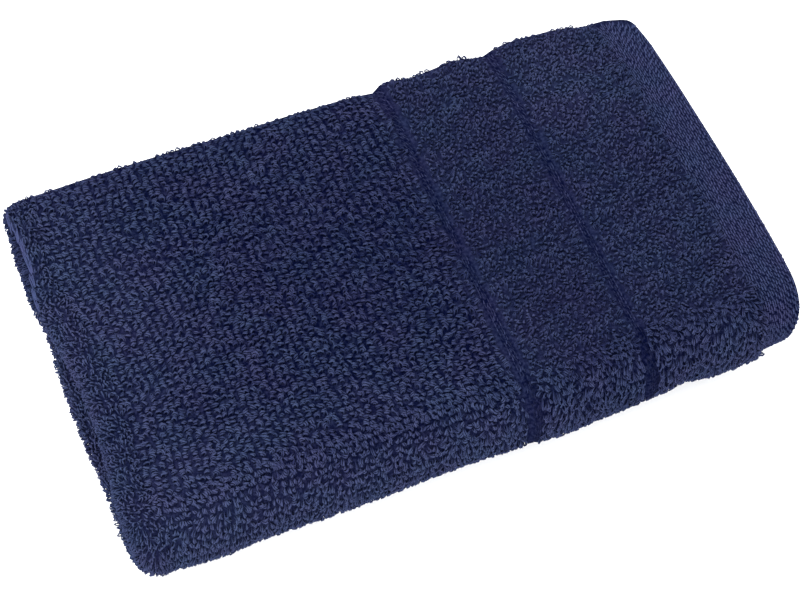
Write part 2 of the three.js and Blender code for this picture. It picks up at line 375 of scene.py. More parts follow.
# Half the thickness of the cloth with its pile: distance from its end or side, half thickness
PILE_HEIGHT_ENDS = [
    (0, HEM_EDGE / 2), (0.8, HEM / 2), (HEM_WIDTH, HEM / 2), (HEM_WIDTH + 1.2, TERRY / 2 - 0.6),
    (HEM_WIDTH + 3.5, TERRY / 2),
]
PILE_HEIGHT_SIDES = [(0, 1.5), (1.2, 2.6), (4, TERRY / 2 - 0.45), (8, TERRY / 2)]


def stack_shift():
    """Shift that sets the stack's middle on the solid's and its underside on the floor."""
    columns = np.linspace(0, CLOTH_LENGTH, num=240)
    rows = np.linspace(0, CLOTH_WIDTH, num=200)
    along, across = np.meshgrid(columns, rows, indexing="ij")
    half = np.minimum(between(PILE_HEIGHT_ENDS, from_end(along)),
                      between(PILE_HEIGHT_SIDES, from_side(across)))
    faces = [cloth_point(along, across, side * half) for side in (OUTER, INNER)]
    points = np.concatenate([face.reshape(-1, 3) for face in faces])
    low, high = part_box(NODE)
    middle = (points.min(axis=0) + points.max(axis=0)) / 2
    solid_middle = np.array(low + high) / 2 / MM
    return np.array([solid_middle[0] - middle[0], solid_middle[1] - middle[1], -points[:, 2].min()])


SHIFT = stack_shift()


# Mesh making

def new_object(name, data):
    item = bpy.data.objects.new(name, data)
    bpy.context.scene.collection.objects.link(item)
    return item


def make_piece(name, points, faces, material, uv, tone):
    """A mesh object from arrays: points in mm, faces of four corners, uv in mm for each corner."""
    mesh = bpy.data.meshes.new(name)
    faces = np.asarray(faces, dtype=np.int32)
    count, corners = faces.shape
    mesh.vertices.add(len(points))
    placed = points + SHIFT
    placed[:, 2] = np.maximum(placed[:, 2], 0.0)
    mesh.vertices.foreach_set("co", (placed * MM).astype(np.float32).ravel())
    mesh.loops.add(count * corners)
    mesh.loops.foreach_set("vertex_index", faces.ravel())
    mesh.polygons.add(count)
    mesh.polygons.foreach_set("loop_start", np.arange(0, count * corners, corners, dtype=np.int32))
    mesh.polygons.foreach_set("use_smooth", np.full(count, True))
    mesh.update(calc_edges=True)
    layer = mesh.uv_layers.new(name="UVMap")
    layer.data.foreach_set("uv", uv.astype(np.float32).ravel())
    attribute = mesh.attributes.new("tone", "FLOAT", "POINT")
    attribute.data.foreach_set("value", tone.astype(np.float32).ravel())
    mesh.validate()
    piece = new_object(name, mesh)
    mesh.materials.append(material)
    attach(piece, BODY)
    return piece


# Materials: scales of uneven fields are for places in metres, those of bands for millimetres

# Colours of the two cottons, mixed by tone: the dark one as painted shade in the depths, the light one on
# the crowns
YARN_DARK = (0.0008, 0.0018, 0.0195, 1.0)
YARN_LIGHT = (0.0282, 0.0360, 0.0805, 1.0)
WEAVE_DARK = (0.0010, 0.0018, 0.0115, 1.0)
WEAVE_LIGHT = (0.033, 0.040, 0.095, 1.0)
# The hue drifts between these two, over broad patches
COOLER = (0.94, 1.03, 1.0, 1.0)
WARMER = (1.09, 0.96, 1.0, 1.0)
SHEEN_TINT = (0.28, 0.38, 1.0, 1.0)


def new_material(name):
    material = bpy.data.materials.new(name)
    material.use_nodes = True
    return material, material.node_tree.nodes["Principled BSDF"]


def set_inputs(node, inputs):
    for name, value in inputs.items():
        node.inputs[name].default_value = value


def add_node(material, kind, inputs, **settings):
    """A shader node with its settings and the values of its inputs."""
    node = material.node_tree.nodes.new(kind)
    for name, value in settings.items():
        setattr(node, name, value)
    set_inputs(node, inputs)
    return node


def link_nodes(material, links):
    """Links from output to input: first node, output's name, second node, input's name or number."""
    for start, output, end, entry in links:
        material.node_tree.links.new(start.outputs[output], end.inputs[entry])


def cotton(name, dark, light, mottled, gloss, sheen):
    """Dyed cotton: two shades mixed by each yarn's tone, which carries painted light and shade, and
    mottled, drifting in hue, with soft sheen.
    """
    material, shader = new_material(name)
    set_inputs(shader, {
        "Roughness": 0.9, "Specular IOR Level": gloss, "Sheen Weight": sheen, "Sheen Roughness": 0.45,
        "Sheen Tint": SHEEN_TINT,
    })
    places = add_node(material, "ShaderNodeTexCoord", {})
    tone = add_node(material, "ShaderNodeAttribute", {}, attribute_name="tone")
    mottle = add_node(material, "ShaderNodeTexNoise", {"Scale": 900.0, "Detail": 2.0})
    shading = add_node(material, "ShaderNodeMapRange",
                       {"From Min": 0.42, "From Max": 0.68, "To Max": mottled})
    level = add_node(material, "ShaderNodeMath", {}, operation="ADD", use_clamp=True)
    mix = add_node(material, "ShaderNodeMix", {"A": dark, "B": light}, data_type="RGBA")
    patches = add_node(material, "ShaderNodeTexNoise", {"Scale": 70.0, "Detail": 3.0})
    spread = add_node(material, "ShaderNodeMapRange", {"From Min": 0.35, "From Max": 0.65})
    hue = add_node(material, "ShaderNodeMix", {"A": COOLER, "B": WARMER}, data_type="RGBA")
    tint = add_node(material, "ShaderNodeMix", {"Factor": 1.0}, data_type="RGBA", blend_type="MULTIPLY")
    link_nodes(material, [
        (places, "Object", mottle, "Vector"), (mottle, "Fac", shading, "Value"),
        (tone, "Fac", level, 0), (shading, "Result", level, 1), (level, "Value", mix, "Factor"),
        (places, "Object", patches, "Vector"), (patches, "Fac", spread, "Value"),
        (spread, "Result", hue, "Factor"), (mix, "Result", tint, "A"), (hue, "Result", tint, "B"),
        (tint, "Result", shader, "Base Color"),
    ])
    return material, shader, places


def add_bump(material, shader, places, bands, fibres, strength, depth):
    """Bump from a banded field that follows the yarn or cloth and a finer uneven one over it."""
    total = add_node(material, "ShaderNodeMath", {}, operation="ADD")
    bump = add_node(material, "ShaderNodeBump", {"Strength": strength, "Distance": depth})
    link_nodes(material, [
        (places, "UV", bands, "Vector"), (places, "Object", fibres, "Vector"),
        (bands, "Fac", total, 0), (fibres, "Fac", total, 1), (total, "Value", bump, "Height"),
        (bump, "Normal", shader, "Normal"),
    ])


def yarn_material():
    """Pile yarn: two plies wound round each other, with loose fibres."""
    material, shader, places = cotton(
        "terry_yarn", YARN_DARK, YARN_LIGHT, mottled=0.20, gloss=0.02, sheen=0.05)
    plies = add_node(material, "ShaderNodeTexWave", {"Scale": 2 * math.pi / 10}, wave_type="BANDS",
                     bands_direction="DIAGONAL")
    fibres = add_node(material, "ShaderNodeTexNoise", {"Scale": 3500.0, "Detail": 2.0})
    add_bump(material, shader, places, plies, fibres, strength=0.35, depth=0.12 * MM)
    return material


def weave_material():
    """Woven ground, hem and border lines: fine twill ribs across the cloth."""
    material, shader, places = cotton(
        "woven_cotton", WEAVE_DARK, WEAVE_LIGHT, mottled=0.22, gloss=0.0, sheen=0.02)
    rib_inputs = {"Scale": 0.32, "Distortion": 1.2, "Detail": 1.0}
    ribs = add_node(material, "ShaderNodeTexWave", rib_inputs, wave_type="BANDS", bands_direction="X")
    threads = add_node(material, "ShaderNodeTexNoise", {"Scale": 1600.0, "Detail": 3.0})
    add_bump(material, shader, places, ribs, threads, strength=0.5, depth=0.15 * MM)
    return material


# Woven ground

# Spacing of the ground's points, and extra rows on the first fold, at corners and along sides
STEP_ALONG = 6.0
STEP_ACROSS = 3.0
FOLD_ROWS = 21
CORNER_ROWS = np.array([0.1, 0.3, 1.5, 3.0])
SIDE_MARKS = (0, 1.2, 3.0)


def spaced(marks, step):
    """Places from the first mark to the last, with every mark kept and gaps split evenly."""
    places = [marks[0]]
    for start, end in zip(marks[:-1], marks[1:]):
        parts = max(1, math.ceil((end - start) / step))
        places.extend(start + (end - start) * part / parts for part in range(1, parts + 1))
    return np.array(places)


def ground_grid():
    """Places along and across the cloth at which the ground has its points."""
    ends = [place for place, _ in GROUND_THICKNESS]
    far_ends = [CLOTH_LENGTH - place for place in reversed(ends)]
    far_sides = [CLOTH_WIDTH - mark for mark in reversed(SIDE_MARKS)]
    along_marks = [*ends, OUTER_RUN, OUTER_RUN + FIRST_TURN, *far_ends]
    across_marks = [*SIDE_MARKS, FLAT_RUN, FLAT_RUN + OUTER_TURN, *far_sides]
    fold = np.linspace(OUTER_RUN, OUTER_RUN + FIRST_TURN, FOLD_ROWS)
    along = [spaced(along_marks, STEP_ALONG), fold, CORNER_ROWS, CLOTH_LENGTH - CORNER_ROWS]
    return np.unique(np.round(np.concatenate(along), 6)), spaced(across_marks, STEP_ACROSS)


def quads(*corners):
    return np.stack(corners, axis=-1).reshape(-1, 4)


def sheet_faces(columns, rows):
    """Faces of one closed sheet: outside, inside, two sides and two ends."""
    outer = np.arange(columns * rows).reshape(columns, rows)
    inner = outer + outer.size
    return np.concatenate([
        quads(outer[:-1, :-1], outer[:-1, 1:], outer[1:, 1:], outer[1:, :-1]),
        quads(inner[:-1, :-1], inner[1:, :-1], inner[1:, 1:], inner[:-1, 1:]),
        quads(outer[:-1, 0], outer[1:, 0], inner[1:, 0], inner[:-1, 0]),
        quads(outer[1:, -1], outer[:-1, -1], inner[:-1, -1], inner[1:, -1]),
        quads(outer[0, 1:], outer[0, :-1], inner[0, :-1], inner[0, 1:]),
        quads(outer[-1, :-1], outer[-1, 1:], inner[-1, 1:], inner[-1, :-1]),
    ])


def ground_tones(along, across, outside):
    """How light the ground's two faces are, with painted shade that keeps it dark on the front and
    painted light lifted from the lighter areas; the outer one is bare where the pile parts.
    """
    distance, opening = parting(along, across)
    gap_light = PAINTED_GAP_LIGHT * np.maximum(soft_spots(PAINTED_SHADING, outside[..., 0], outside[..., 1]), 0.0)
    level = between(GROUND_TONE, from_end(along)) * (1 - on_front(across)) + gap_light
    bare = RIDGE.tone * opening * soft_step(RIDGE.tone_reach - np.abs(distance))
    return np.concatenate([np.maximum(level, bare).ravel(), level.ravel()])


def ground_cloth(material):
    """The cloth without its pile: one closed sheet with two faces."""
    columns, rows = ground_grid()
    along, across = np.meshgrid(columns, rows, indexing="ij")
    outside = cloth_point(along, across, outer_lift(along, across))
    inside = cloth_point(along, across, -ground_half(along, across))
    points = np.concatenate([outside.reshape(-1, 3), inside.reshape(-1, 3)])
    faces = sheet_faces(len(columns), len(rows))
    uv = np.tile(np.stack([along.ravel(), across.ravel()], axis=-1), (2, 1))[faces.ravel()]
    tone = ground_tones(along, across, outside)
    return make_piece("woven_ground", points, faces, material, uv, tone)


# Yarns

# Shape of a loop: how far its feet stand in, and how square its arch is
FOOT_SPREAD = 0.62
ARCH_ROUNDNESS = 0.55
# Angle through which two strands wind, and their distance from the loop's middle in strand radii
STRAND_WIND = 2.4
STRAND_REACH = 0.9
# How far a loop or thread runs aslant from foot to foot, in half widths
SLANT = 0.5
# Thickness at the feet, how much thicker the crown is, and how a loop grows light towards it: partly
# fibres worn lighter at the tips, partly painted shade at the feet deep in the pile
FOOT_THICKNESS = 0.86
CROWN_THICKENING = 0.18
CROWN_WEAR_AND_ROOT_SHADE = 1.5 * ARCH_ROUNDNESS
# Triangles in one piece at most
PIECE_LIMIT = 190000

# Waves of the slow and the quick uneven field: height, rate along, rate across, share of the phase
SLOW = [(0.5, 0.045, 0.021, 1.0), (0.3, -0.018, 0.072, 1.7), (0.2, 0.13, 0.11, 2.9)]
QUICK = [(0.5, 0.17, 0.55, 1.0), (0.3, -0.71, 0.94, 2.3), (0.2, 1.32, 0.37, 3.1)]


def uneven(waves, along, across, phase):
    """A smooth uneven field between about -1 and 1: slow for warped rows, quick for tufts."""
    return sum(height * np.sin(along * rate_along + across * rate_across + share * phase)
               for height, rate_along, rate_across, share in waves)


def yarn_lines(yarns, share, base_drop):
    """Middle lines of arched yarns, twisted, leaned and curled, and the way across each of them."""
    outer = outer_lift(yarns.along, yarns.across)
    lift = np.where(yarns.side > 0, outer, -ground_half(yarns.along, yarns.across))
    point, ahead, beside, normal = cloth_frame(yarns.along, yarns.across, lift)
    cos_twist = np.cos(yarns.twist)[:, None]
    sin_twist = np.sin(yarns.twist)[:, None]
    wide = ahead * cos_twist + beside * sin_twist
    flat = beside * cos_twist - ahead * sin_twist
    lean = ahead * np.tan(yarns.lean_along)[:, None] + beside * np.tan(yarns.lean_across)[:, None]
    rise = unit(normal + lean)
    half_width = yarns.half_width[:, None]
    arch = np.sin(math.pi * share)
    reach = -np.cos(math.pi * share) * (FOOT_SPREAD + (1 - FOOT_SPREAD) * arch) * half_width
    up = arch ** ARCH_ROUNDNESS * (yarns.height + base_drop)[:, None] - base_drop
    bow = yarns.curl[:, None] * arch ** 2 + (share - 0.5) * yarns.slant[:, None] * half_width
    line = point[:, None] + wide[:, None] * reach[..., None] + rise[:, None] * up[..., None]
    return line + flat[:, None] * bow[..., None], flat


def yarn_rings(line, flat, thick, wind, sides, strands):
    """Rings of points round each line, or round the strands that wind about it."""
    tangent = unit(np.gradient(line, axis=1))
    out = unit(flat[:, None] - tangent * np.sum(tangent * flat[:, None], axis=-1, keepdims=True))
    up = np.cross(tangent, out)
    share = np.linspace(0, 1, line.shape[1])
    angle = np.arange(sides) * 2 * math.pi / sides
    rings = []
    for strand in range(strands):
        wound = wind[:, None] + STRAND_WIND * (share - 0.5) + strand * math.pi
        away = thick * STRAND_REACH * (strands - 1)
        middle = line + out * (away * np.cos(wound))[..., None] + up * (away * np.sin(wound))[..., None]
        around = wound[..., None] + angle
        ring_out = out[:, :, None] * (thick[..., None] * np.cos(around))[..., None]
        ring_up = up[:, :, None] * (thick[..., None] * np.sin(around))[..., None]
        rings.append(middle[:, :, None] + ring_out + ring_up)
    return np.concatenate(rings)


def tube_faces(count, rings, sides):
    tube = np.arange(count)[:, None, None] * rings * sides
    level = np.arange(rings - 1)[:, None] * sides
    turn = np.arange(sides)
    first = tube + level + turn
    second = tube + level + (turn + 1) % sides
    return quads(first, second, second + sides, first + sides)


def tube_uv(lengths, rings, sides):
    """Places of the faces' corners: mm along the yarn, and two plies round it."""
    step = (lengths / (rings - 1))[:, None, None, None]
    level = np.arange(rings - 1)[:, None, None] + np.array([0, 0, 1, 1])
    turn = np.arange(sides)[:, None] + np.array([0, 1, 1, 0])
    around = turn * 2 / sides
    along = step * level
    return np.stack(np.broadcast_arrays(along, around), axis=-1).reshape(-1, 2)


def yarn_tones(yarns, line, arch, root_shade_tone):
    """How light each yarn is from foot to foot, darker at its feet as painted shade and partly as fibre
    wear, with the painted light and shade of the cloth's areas.
    """
    crown = root_shade_tone + (1 - root_shade_tone) * arch ** CROWN_WEAR_AND_ROOT_SHADE
    change = soft_spots(PAINTED_SHADING, line[:, 0, 0], line[:, 0, 1])
    gap_light = PAINTED_GAP_LIGHT * np.maximum(change, 0.0)[:, None] * (1 - crown)
    return (yarns.tone + change)[:, None] * crown + gap_light


def sweep(name, material, yarns, rings, sides, strands, base_drop, root_shade_tone):
    """Many bent yarns as one mesh, or as several where they are too many for one."""
    share = np.linspace(0, 1, rings)
    arch = np.sin(math.pi * share)
    line, flat = yarn_lines(yarns, share, base_drop)
    thick = yarns.radius[:, None] * (FOOT_THICKNESS + CROWN_THICKENING * arch)
    tone = np.repeat(yarn_tones(yarns, line, arch, root_shade_tone)[..., None], sides, axis=-1)
    length = 2 * (yarns.height + yarns.half_width)
    parts = math.ceil(len(line) * strands * (rings - 1) * sides * 2 / PIECE_LIMIT)
    pieces = []
    for number, chosen in enumerate(np.array_split(np.arange(len(line)), parts)):
        part_name = name if parts == 1 else f"{name}_{number + 1}"
        points = yarn_rings(line[chosen], flat[chosen], thick[chosen], yarns.wind[chosen], sides, strands)
        faces = tube_faces(len(points), rings, sides)
        uv = tube_uv(np.tile(length[chosen], strands), rings, sides)
        tones = np.tile(tone[chosen], (strands, 1, 1))
        pieces.append(make_piece(part_name, points.reshape(-1, 3), faces, material, uv, tones))
    return pieces


# Loop pile

# Kinds of pile: lengths in mm, every second row's stagger and the jitter as shares of the spacing,
# spreads in radians, the rings and sides of a strand's mesh, and the lightness, which is partly painted
# light and shade: set lighter on the front kinds, where more light falls
Kind = namedtuple("Kind", """
    pitch_along pitch_across stagger strands radius half_width jitter twist_spread lean_spread
    rings sides lightness""")
BODY_LOOPS = Kind(2.70, 1.55, 0.0, 2, 0.37, 1.02, 0.12, 0.36, 0.24, 5, 3, 0.62)
BAND_LOOPS = Kind(1.48, 1.26, 0.5, 1, 0.38, 0.55, 0.30, 1.20, 0.38, 5, 3, 0.66)
FRONT_LOOPS = Kind(1.50, 2.15, 0.5, 2, 0.35, 0.80, 0.16, 0.55, 0.26, 6, 3, 0.66)
FRONT_BAND_LOOPS = Kind(1.35, 2.05, 0.5, 2, 0.31, 0.95, 0.20, 0.50, 0.28, 6, 3, 0.70)
FOLD_LOOPS = Kind(0.95, 1.35, 0.5, 1, 0.32, 0.72, 0.20, 0.60, 0.30, 5, 3, 0.66)
EDGE_LOOPS = Kind(1.90, 1.40, 0.5, 2, 0.31, 0.92, 0.12, 0.22, 0.10, 5, 3, 0.60)
HIDDEN_LOOPS = Kind(3.00, 2.10, 0.5, 1, 0.58, 0.90, 0.12, 0.30, 0.20, 4, 3, 0.56)

# Highest loops near the sides: distance from the side, height over the middle surface
LOOP_HEIGHT_SIDES = [(0, 1.7), (1.2, 2.6), (2.5, 3.3), (4, TERRY / 2 - 0.4), (8, TERRY / 2)]
LOWEST_LOOP = 0.5
DARKEST_LOOP = 0.1
# Spread of a loop's sizes as shares of them, of its tone, alone and in patches, and of its winding
SPREAD = Values(height=0.13, width=0.14, curl=0.45, radius=0.08, tone=0.13, patch=0.08, wind=0.5)
# Length of a loop in heights of its room: upright, and at most where it leans, which is less near the
# sides and more on the front outside the far line
STRETCH = Values(upright=1.05, most=1.8, side_less=0.6, side_start=6.0, side_reach=4.0, front_more=0.6)

# How far loops are turned on the first fold and on the front, in radians
TURN = Values(fold=1.2, fold_start=4.0, fold_reach=6.0, front=1.75, drift=0.3)

# Rows of loops warp by a share of their spacing, in quicker waves than the slow field's
WARP = Values(share=0.5, rate=1.6)

# Lean of the pile in radians, with reaches in mm, or in half widths at a parting
LINE_LEAN = Values(from_body=0.4, from_hem=0.1, tufts=0.3, reach=2.0, front_loss=0.7)
HEM_LEAN = Values(over=0.6, tufts=0.5, reach=5.0)
FRONT_LEAN = Values(bands_down=0.65, body_down=0.45, bands_aslant=0.38, body_aslant=0.2)
BEFORE_PARTING = Values(lean=-0.35, start=6.0, reach=5.0)
AFTER_PARTING = Values(lean=0.6, opened=0.3, reach=2.5, last_turn=0.5)
SIDE_LEAN = Values(splay=0.50, tufts=0.70, tuft_rate=1.6, reach=4.0)
# Tufts of the pile's own lean against its spread, and the steepest lean
TUFT_SHARE = 1.2
STEEPEST_LEAN = 1.1

# Shadow behind a parting of the upper pair: depth, and where it begins and ends in half widths
SHADOW = Values(depth=0.3, start=0.6, end=14.0, fade=4.0)

# How far loops keep off the sides and the lines, how deep they go inside the open edges, and the
# ragged edge at the hem: its start and waver, and the reach of its tufts on the front
LINE_CLEARANCE = 1.15
LINE_REACH = LINE_WIDTH / 2 + LINE_CLEARANCE
EDGE = 0.6
OPEN_DEPTH = 9.0
HEM_END = HEM_WIDTH + 0.5
HEM_EDGE_START = 0.6
HEM_EDGE_WAVER = 0.7
TUFT_REACH = 1.8

# Stretches along the cloth
FOLD_OVERLAP = 1.5
NEAR_BAND = (HEM_END, NEAR_LINE - LINE_REACH)
NEAR_FRONT = (HEM_END - TUFT_REACH, NEAR_LINE - LINE_REACH)
FAR_BAND = (NEAR_LINE + LINE_REACH, FAR_LINE - LINE_REACH)
BODY_RUN = (FAR_LINE + LINE_REACH, OUTER_RUN - FOLD_OVERLAP)
FIRST_FOLD_RUN = (OUTER_RUN - FOLD_OVERLAP, OUTER_RUN + FIRST_TURN)
OUTER_LAYER = (HEM_END, OUTER_RUN)
INNER_LAYER = (OUTER_RUN + FIRST_TURN, CLOTH_LENGTH - HEM_END)
NEAR_HEM = (HEM_END, HEM_END + OPEN_DEPTH)
FAR_HEM = (CLOTH_LENGTH - HEM_END - OPEN_DEPTH, CLOTH_LENGTH - HEM_END)

# Stretches across the cloth: underside, front and top, which overlap, and rows and strips at the sides
SIDE_GAP = 1.7
FRONT_OVERLAP = 6
WHOLE = (EDGE, CLOTH_WIDTH - EDGE)
UNDER_SIDE = (SIDE_GAP, FLAT_RUN - FRONT_OVERLAP)
FRONT_SIDE = (FLAT_RUN - FRONT_OVERLAP, CLOTH_WIDTH - FLAT_RUN - 1)
TOP_SIDE = (CLOTH_WIDTH - FLAT_RUN - FRONT_OVERLAP, CLOTH_WIDTH - SIDE_GAP)
LOW_ROW = (0.1, 1.5)
HIGH_ROW = (CLOTH_WIDTH - 1.5, CLOTH_WIDTH - 0.1)
LOW_EDGE = (EDGE, OPEN_DEPTH)
HIGH_EDGE = (CLOTH_WIDTH - OPEN_DEPTH, CLOTH_WIDTH - EDGE)

# Parts of the pile: name, kind, face, and the stretches along and across the cloth that it covers
PARTS = [
    ("pile_body_top", BODY_LOOPS, OUTER, [(BODY_RUN, TOP_SIDE)]),
    ("pile_near_band_top", BAND_LOOPS, OUTER, [(NEAR_BAND, TOP_SIDE)]),
    ("pile_far_band_top", BAND_LOOPS, OUTER, [(FAR_BAND, TOP_SIDE)]),
    ("pile_front_body", FRONT_LOOPS, OUTER, [(BODY_RUN, FRONT_SIDE)]),
    ("pile_front_bands", FRONT_BAND_LOOPS, OUTER, [(NEAR_FRONT, FRONT_SIDE), (FAR_BAND, FRONT_SIDE)]),
    ("pile_edges", EDGE_LOOPS, OUTER,
     [(run, row) for row in (LOW_ROW, HIGH_ROW) for run in (NEAR_BAND, FAR_BAND, BODY_RUN)]),
    ("pile_first_fold", FOLD_LOOPS, OUTER, [(FIRST_FOLD_RUN, WHOLE)]),
    ("pile_under", HIDDEN_LOOPS, OUTER, [(run, UNDER_SIDE) for run in (NEAR_BAND, FAR_BAND, BODY_RUN)]),
    ("pile_inside_pair", HIDDEN_LOOPS, INNER,
     [(run, row) for run in (OUTER_LAYER, INNER_LAYER) for row in (LOW_EDGE, HIGH_EDGE)]
     + [(NEAR_HEM, WHOLE), (FAR_HEM, WHOLE)]),
    ("pile_inside_fold", HIDDEN_LOOPS, OUTER,
     [(INNER_LAYER, LOW_EDGE), (INNER_LAYER, HIGH_EDGE), (FAR_HEM, WHOLE)]),
]


def grid_places(run, row, kind):
    """Loop feet in rows: a grid over a part of the cloth, staggered, jittered and slowly warped."""
    along = np.arange(run[0] + kind.pitch_along / 2, run[1], kind.pitch_along)
    across = np.arange(row[0] + kind.pitch_across / 2, row[1], kind.pitch_across)
    along, across = np.meshgrid(along, across, indexing="ij")
    along = along + (np.arange(along.shape[1]) % 2)[None, :] * kind.pitch_along * kind.stagger
    noise = randomness.normal(size=(2, *along.shape))
    place = (along * WARP.rate, across * WARP.rate)
    warp_along = WARP.share * kind.pitch_along * uneven(SLOW, *place, phase=0.9)
    warp_across = WARP.share * kind.pitch_across * uneven(SLOW, *place, phase=4.1)
    along = along + noise[0] * kind.jitter * kind.pitch_along + warp_along
    across = across + noise[1] * kind.jitter * kind.pitch_across + warp_across
    inside = (along > run[0]) & (along < run[1]) & (across > row[0]) & (across < row[1])
    return along[inside], across[inside]


def loop_places(kind, side, stretches):
    """Loop feet over several stretches, without those on a parting or past the ragged edge."""
    along, across = np.concatenate([grid_places(*stretch, kind) for stretch in stretches], axis=1)
    distance, opening = parting(along, across)
    keep = (np.abs(distance) > opening) | (opening == 0) | (side == INNER)
    waver = HEM_EDGE_WAVER * uneven(QUICK, along, across, phase=2.6)
    keep &= from_end(along) > HEM_END + HEM_EDGE_START + waver - TUFT_REACH * on_front(across)
    return along[keep], across[keep]


def lean_over_lines(along, across, towards_end):
    """Lean of the pile beside the border lines, over them from either side."""
    lean = np.zeros_like(along)
    for line in LINE_PLACES:
        offset = from_end(along) - line
        near = np.exp(-((np.abs(offset) - LINE_REACH) / LINE_LEAN.reach) ** 2)
        tufts = LINE_LEAN.tufts * uneven(QUICK, along, across, phase=1.3)
        over = np.where(offset > 0, LINE_LEAN.from_body, LINE_LEAN.from_hem) + tufts
        over = over * (1 - LINE_LEAN.front_loss * on_front(across))
        lean += near * over * np.sign(offset) * towards_end
    return lean


def lean_round_fold(along, across):
    """Lean away from the partings of the first fold, and aslant down the front."""
    distance, opening = parting(along, across)
    near = soft_step((distance + BEFORE_PARTING.start) / BEFORE_PARTING.reach)
    before = BEFORE_PARTING.lean * opening * near * (distance < 0)
    after = AFTER_PARTING.lean + AFTER_PARTING.opened * opening
    after = after * soft_step(distance / AFTER_PARTING.reach)
    after = after * soft_step((math.pi - raw_turn(along)) / AFTER_PARTING.last_turn)
    aslant = np.where(from_end(along) < FAR_LINE, FRONT_LEAN.bands_aslant, FRONT_LEAN.body_aslant)
    return before + after + aslant * on_front(across) * (along < OUTER_RUN)


def pile_lean(along, across, side):
    """Lean of the pile: towards the border lines and hem, down the front fold, off the partings."""
    end = from_end(along)
    towards_end = np.where(along < CLOTH_LENGTH / 2, -1.0, 1.0)
    lean_along = lean_over_lines(along, across, towards_end)
    over_hem = HEM_LEAN.over + HEM_LEAN.tufts * uneven(QUICK, along, across, phase=0.6)
    lean_along += over_hem * soft_step((HEM_WIDTH + HEM_LEAN.reach - end) / HEM_LEAN.reach) * towards_end
    lean_across = np.zeros_like(along)
    if side == OUTER:
        lean_along += lean_round_fold(along, across)
        down = np.where(end < FAR_LINE, FRONT_LEAN.bands_down, FRONT_LEAN.body_down)
        lean_across -= np.where(along < OUTER_RUN + FIRST_TURN / 2, down * on_front(across), 0.0)
    outward = np.where(across < CLOTH_WIDTH / 2, -1.0, 1.0)
    tufts = SIDE_LEAN.tufts * uneven(QUICK, along * SIDE_LEAN.tuft_rate, across, phase=1.9)
    splay = (SIDE_LEAN.splay + tufts) * outward
    lean_across += splay * soft_step((SIDE_LEAN.reach - from_side(across)) / SIDE_LEAN.reach)
    return lean_along, lean_across


def loop_lean(kind, side, along, across, noise):
    """Lean of each loop: the pile's own, with its spread and in tufts, up to the steepest."""
    lean_along, lean_across = pile_lean(along, across, side)
    tufted = kind.lean_spread * TUFT_SHARE
    lean_along += kind.lean_spread * noise[0] + tufted * uneven(QUICK, along, across, phase=0.4)
    lean_across += kind.lean_spread * noise[1] + tufted * uneven(QUICK, along, across, phase=5.2)
    steepest = (-STEEPEST_LEAN, STEEPEST_LEAN)
    return np.clip(lean_along, *steepest), np.clip(lean_across, *steepest)


def loop_turn(kind, side, along, across, noise):
    """Angle of each loop to the rows, turned on the first fold and on the front."""
    turned = kind.twist_spread * noise + TURN.drift * uneven(SLOW, along, across, phase=3.1)
    if side == OUTER:
        fold_share = soft_step((along - OUTER_RUN + TURN.fold_start) / TURN.fold_reach)
        turned += np.maximum(TURN.fold * fold_share, TURN.front * on_front(across))
    return turned


def loop_height(kind, along, across, lean_along, lean_across, noise):
    """Length of each loop over the ground, longer where it leans, so that it reaches as high."""
    floor = ground_half(along, across) + kind.radius * kind.strands
    top = np.minimum(TERRY / 2, between(LOOP_HEIGHT_SIDES, from_side(across)))
    room = np.maximum(top - floor, LOWEST_LOOP)
    slope = np.hypot(np.tan(lean_along), np.tan(lean_across))
    side_share = soft_step((STRETCH.side_start - from_side(across)) / STRETCH.side_reach)
    front_share = on_front(across) * (from_end(along) < FAR_LINE)
    longest = STRETCH.most - STRETCH.side_less * side_share + STRETCH.front_more * front_share
    return room * (STRETCH.upright + SPREAD.height * noise) * np.minimum(np.hypot(1, slope), longest)


def parting_shadow(side, along, across):
    """Darkening of the loops behind the partings of the upper pair."""
    distance, opening = parting(along, across)
    shadow = SHADOW.depth * np.minimum(opening, 1.0) * soft_step(distance - SHADOW.start)
    shadow = shadow * soft_step((SHADOW.end - distance) / SHADOW.fade)
    return shadow * (across > CLOTH_WIDTH / 2) * (side == OUTER)


def pile_part(name, material, kind, side, stretches):
    """One part of the pile over several stretches of the cloth."""
    along, across = loop_places(kind, side, stretches)
    count = len(along)
    noise = randomness.normal(size=(9, count))
    lean_along, lean_across = loop_lean(kind, side, along, across, noise[:2])
    patches = SPREAD.patch * uneven(QUICK, along, across, phase=5.0)
    tone = kind.lightness + SPREAD.tone * noise[7] + patches - parting_shadow(side, along, across)
    yarns = Values(
        along=along, across=across, side=np.full(count, side),
        lean_along=lean_along, lean_across=lean_across,
        twist=loop_turn(kind, side, along, across, noise[2]),
        height=loop_height(kind, along, across, lean_along, lean_across, noise[3]),
        half_width=kind.half_width * (1 + SPREAD.width * noise[4]),
        curl=kind.half_width * SPREAD.curl * noise[5],
        radius=kind.radius * (1 + SPREAD.radius * noise[6]),
        tone=np.clip(tone, DARKEST_LOOP, 1.0),
        wind=SPREAD.wind * noise[8],
        slant=np.full(count, SLANT),
    )
    return sweep(name, material, yarns, kind.rings, kind.sides, kind.strands, base_drop=0.5,
                 root_shade_tone=0.20)


def terry_pile(material):
    """All the pile: rows of twisted loops on the body, finer tangled loops between the lines."""
    pieces = []
    for name, kind, side, stretches in PARTS:
        pieces += pile_part(name, material, kind, side, stretches)
    return pieces


# Woven bands: short raised threads across the cloth, each row shifted against the last

THREAD_PITCH = 1.0
THREAD_LENGTH = 2.0
THREAD_TURN = math.radians(73)
THREAD_MARGIN = 2.0
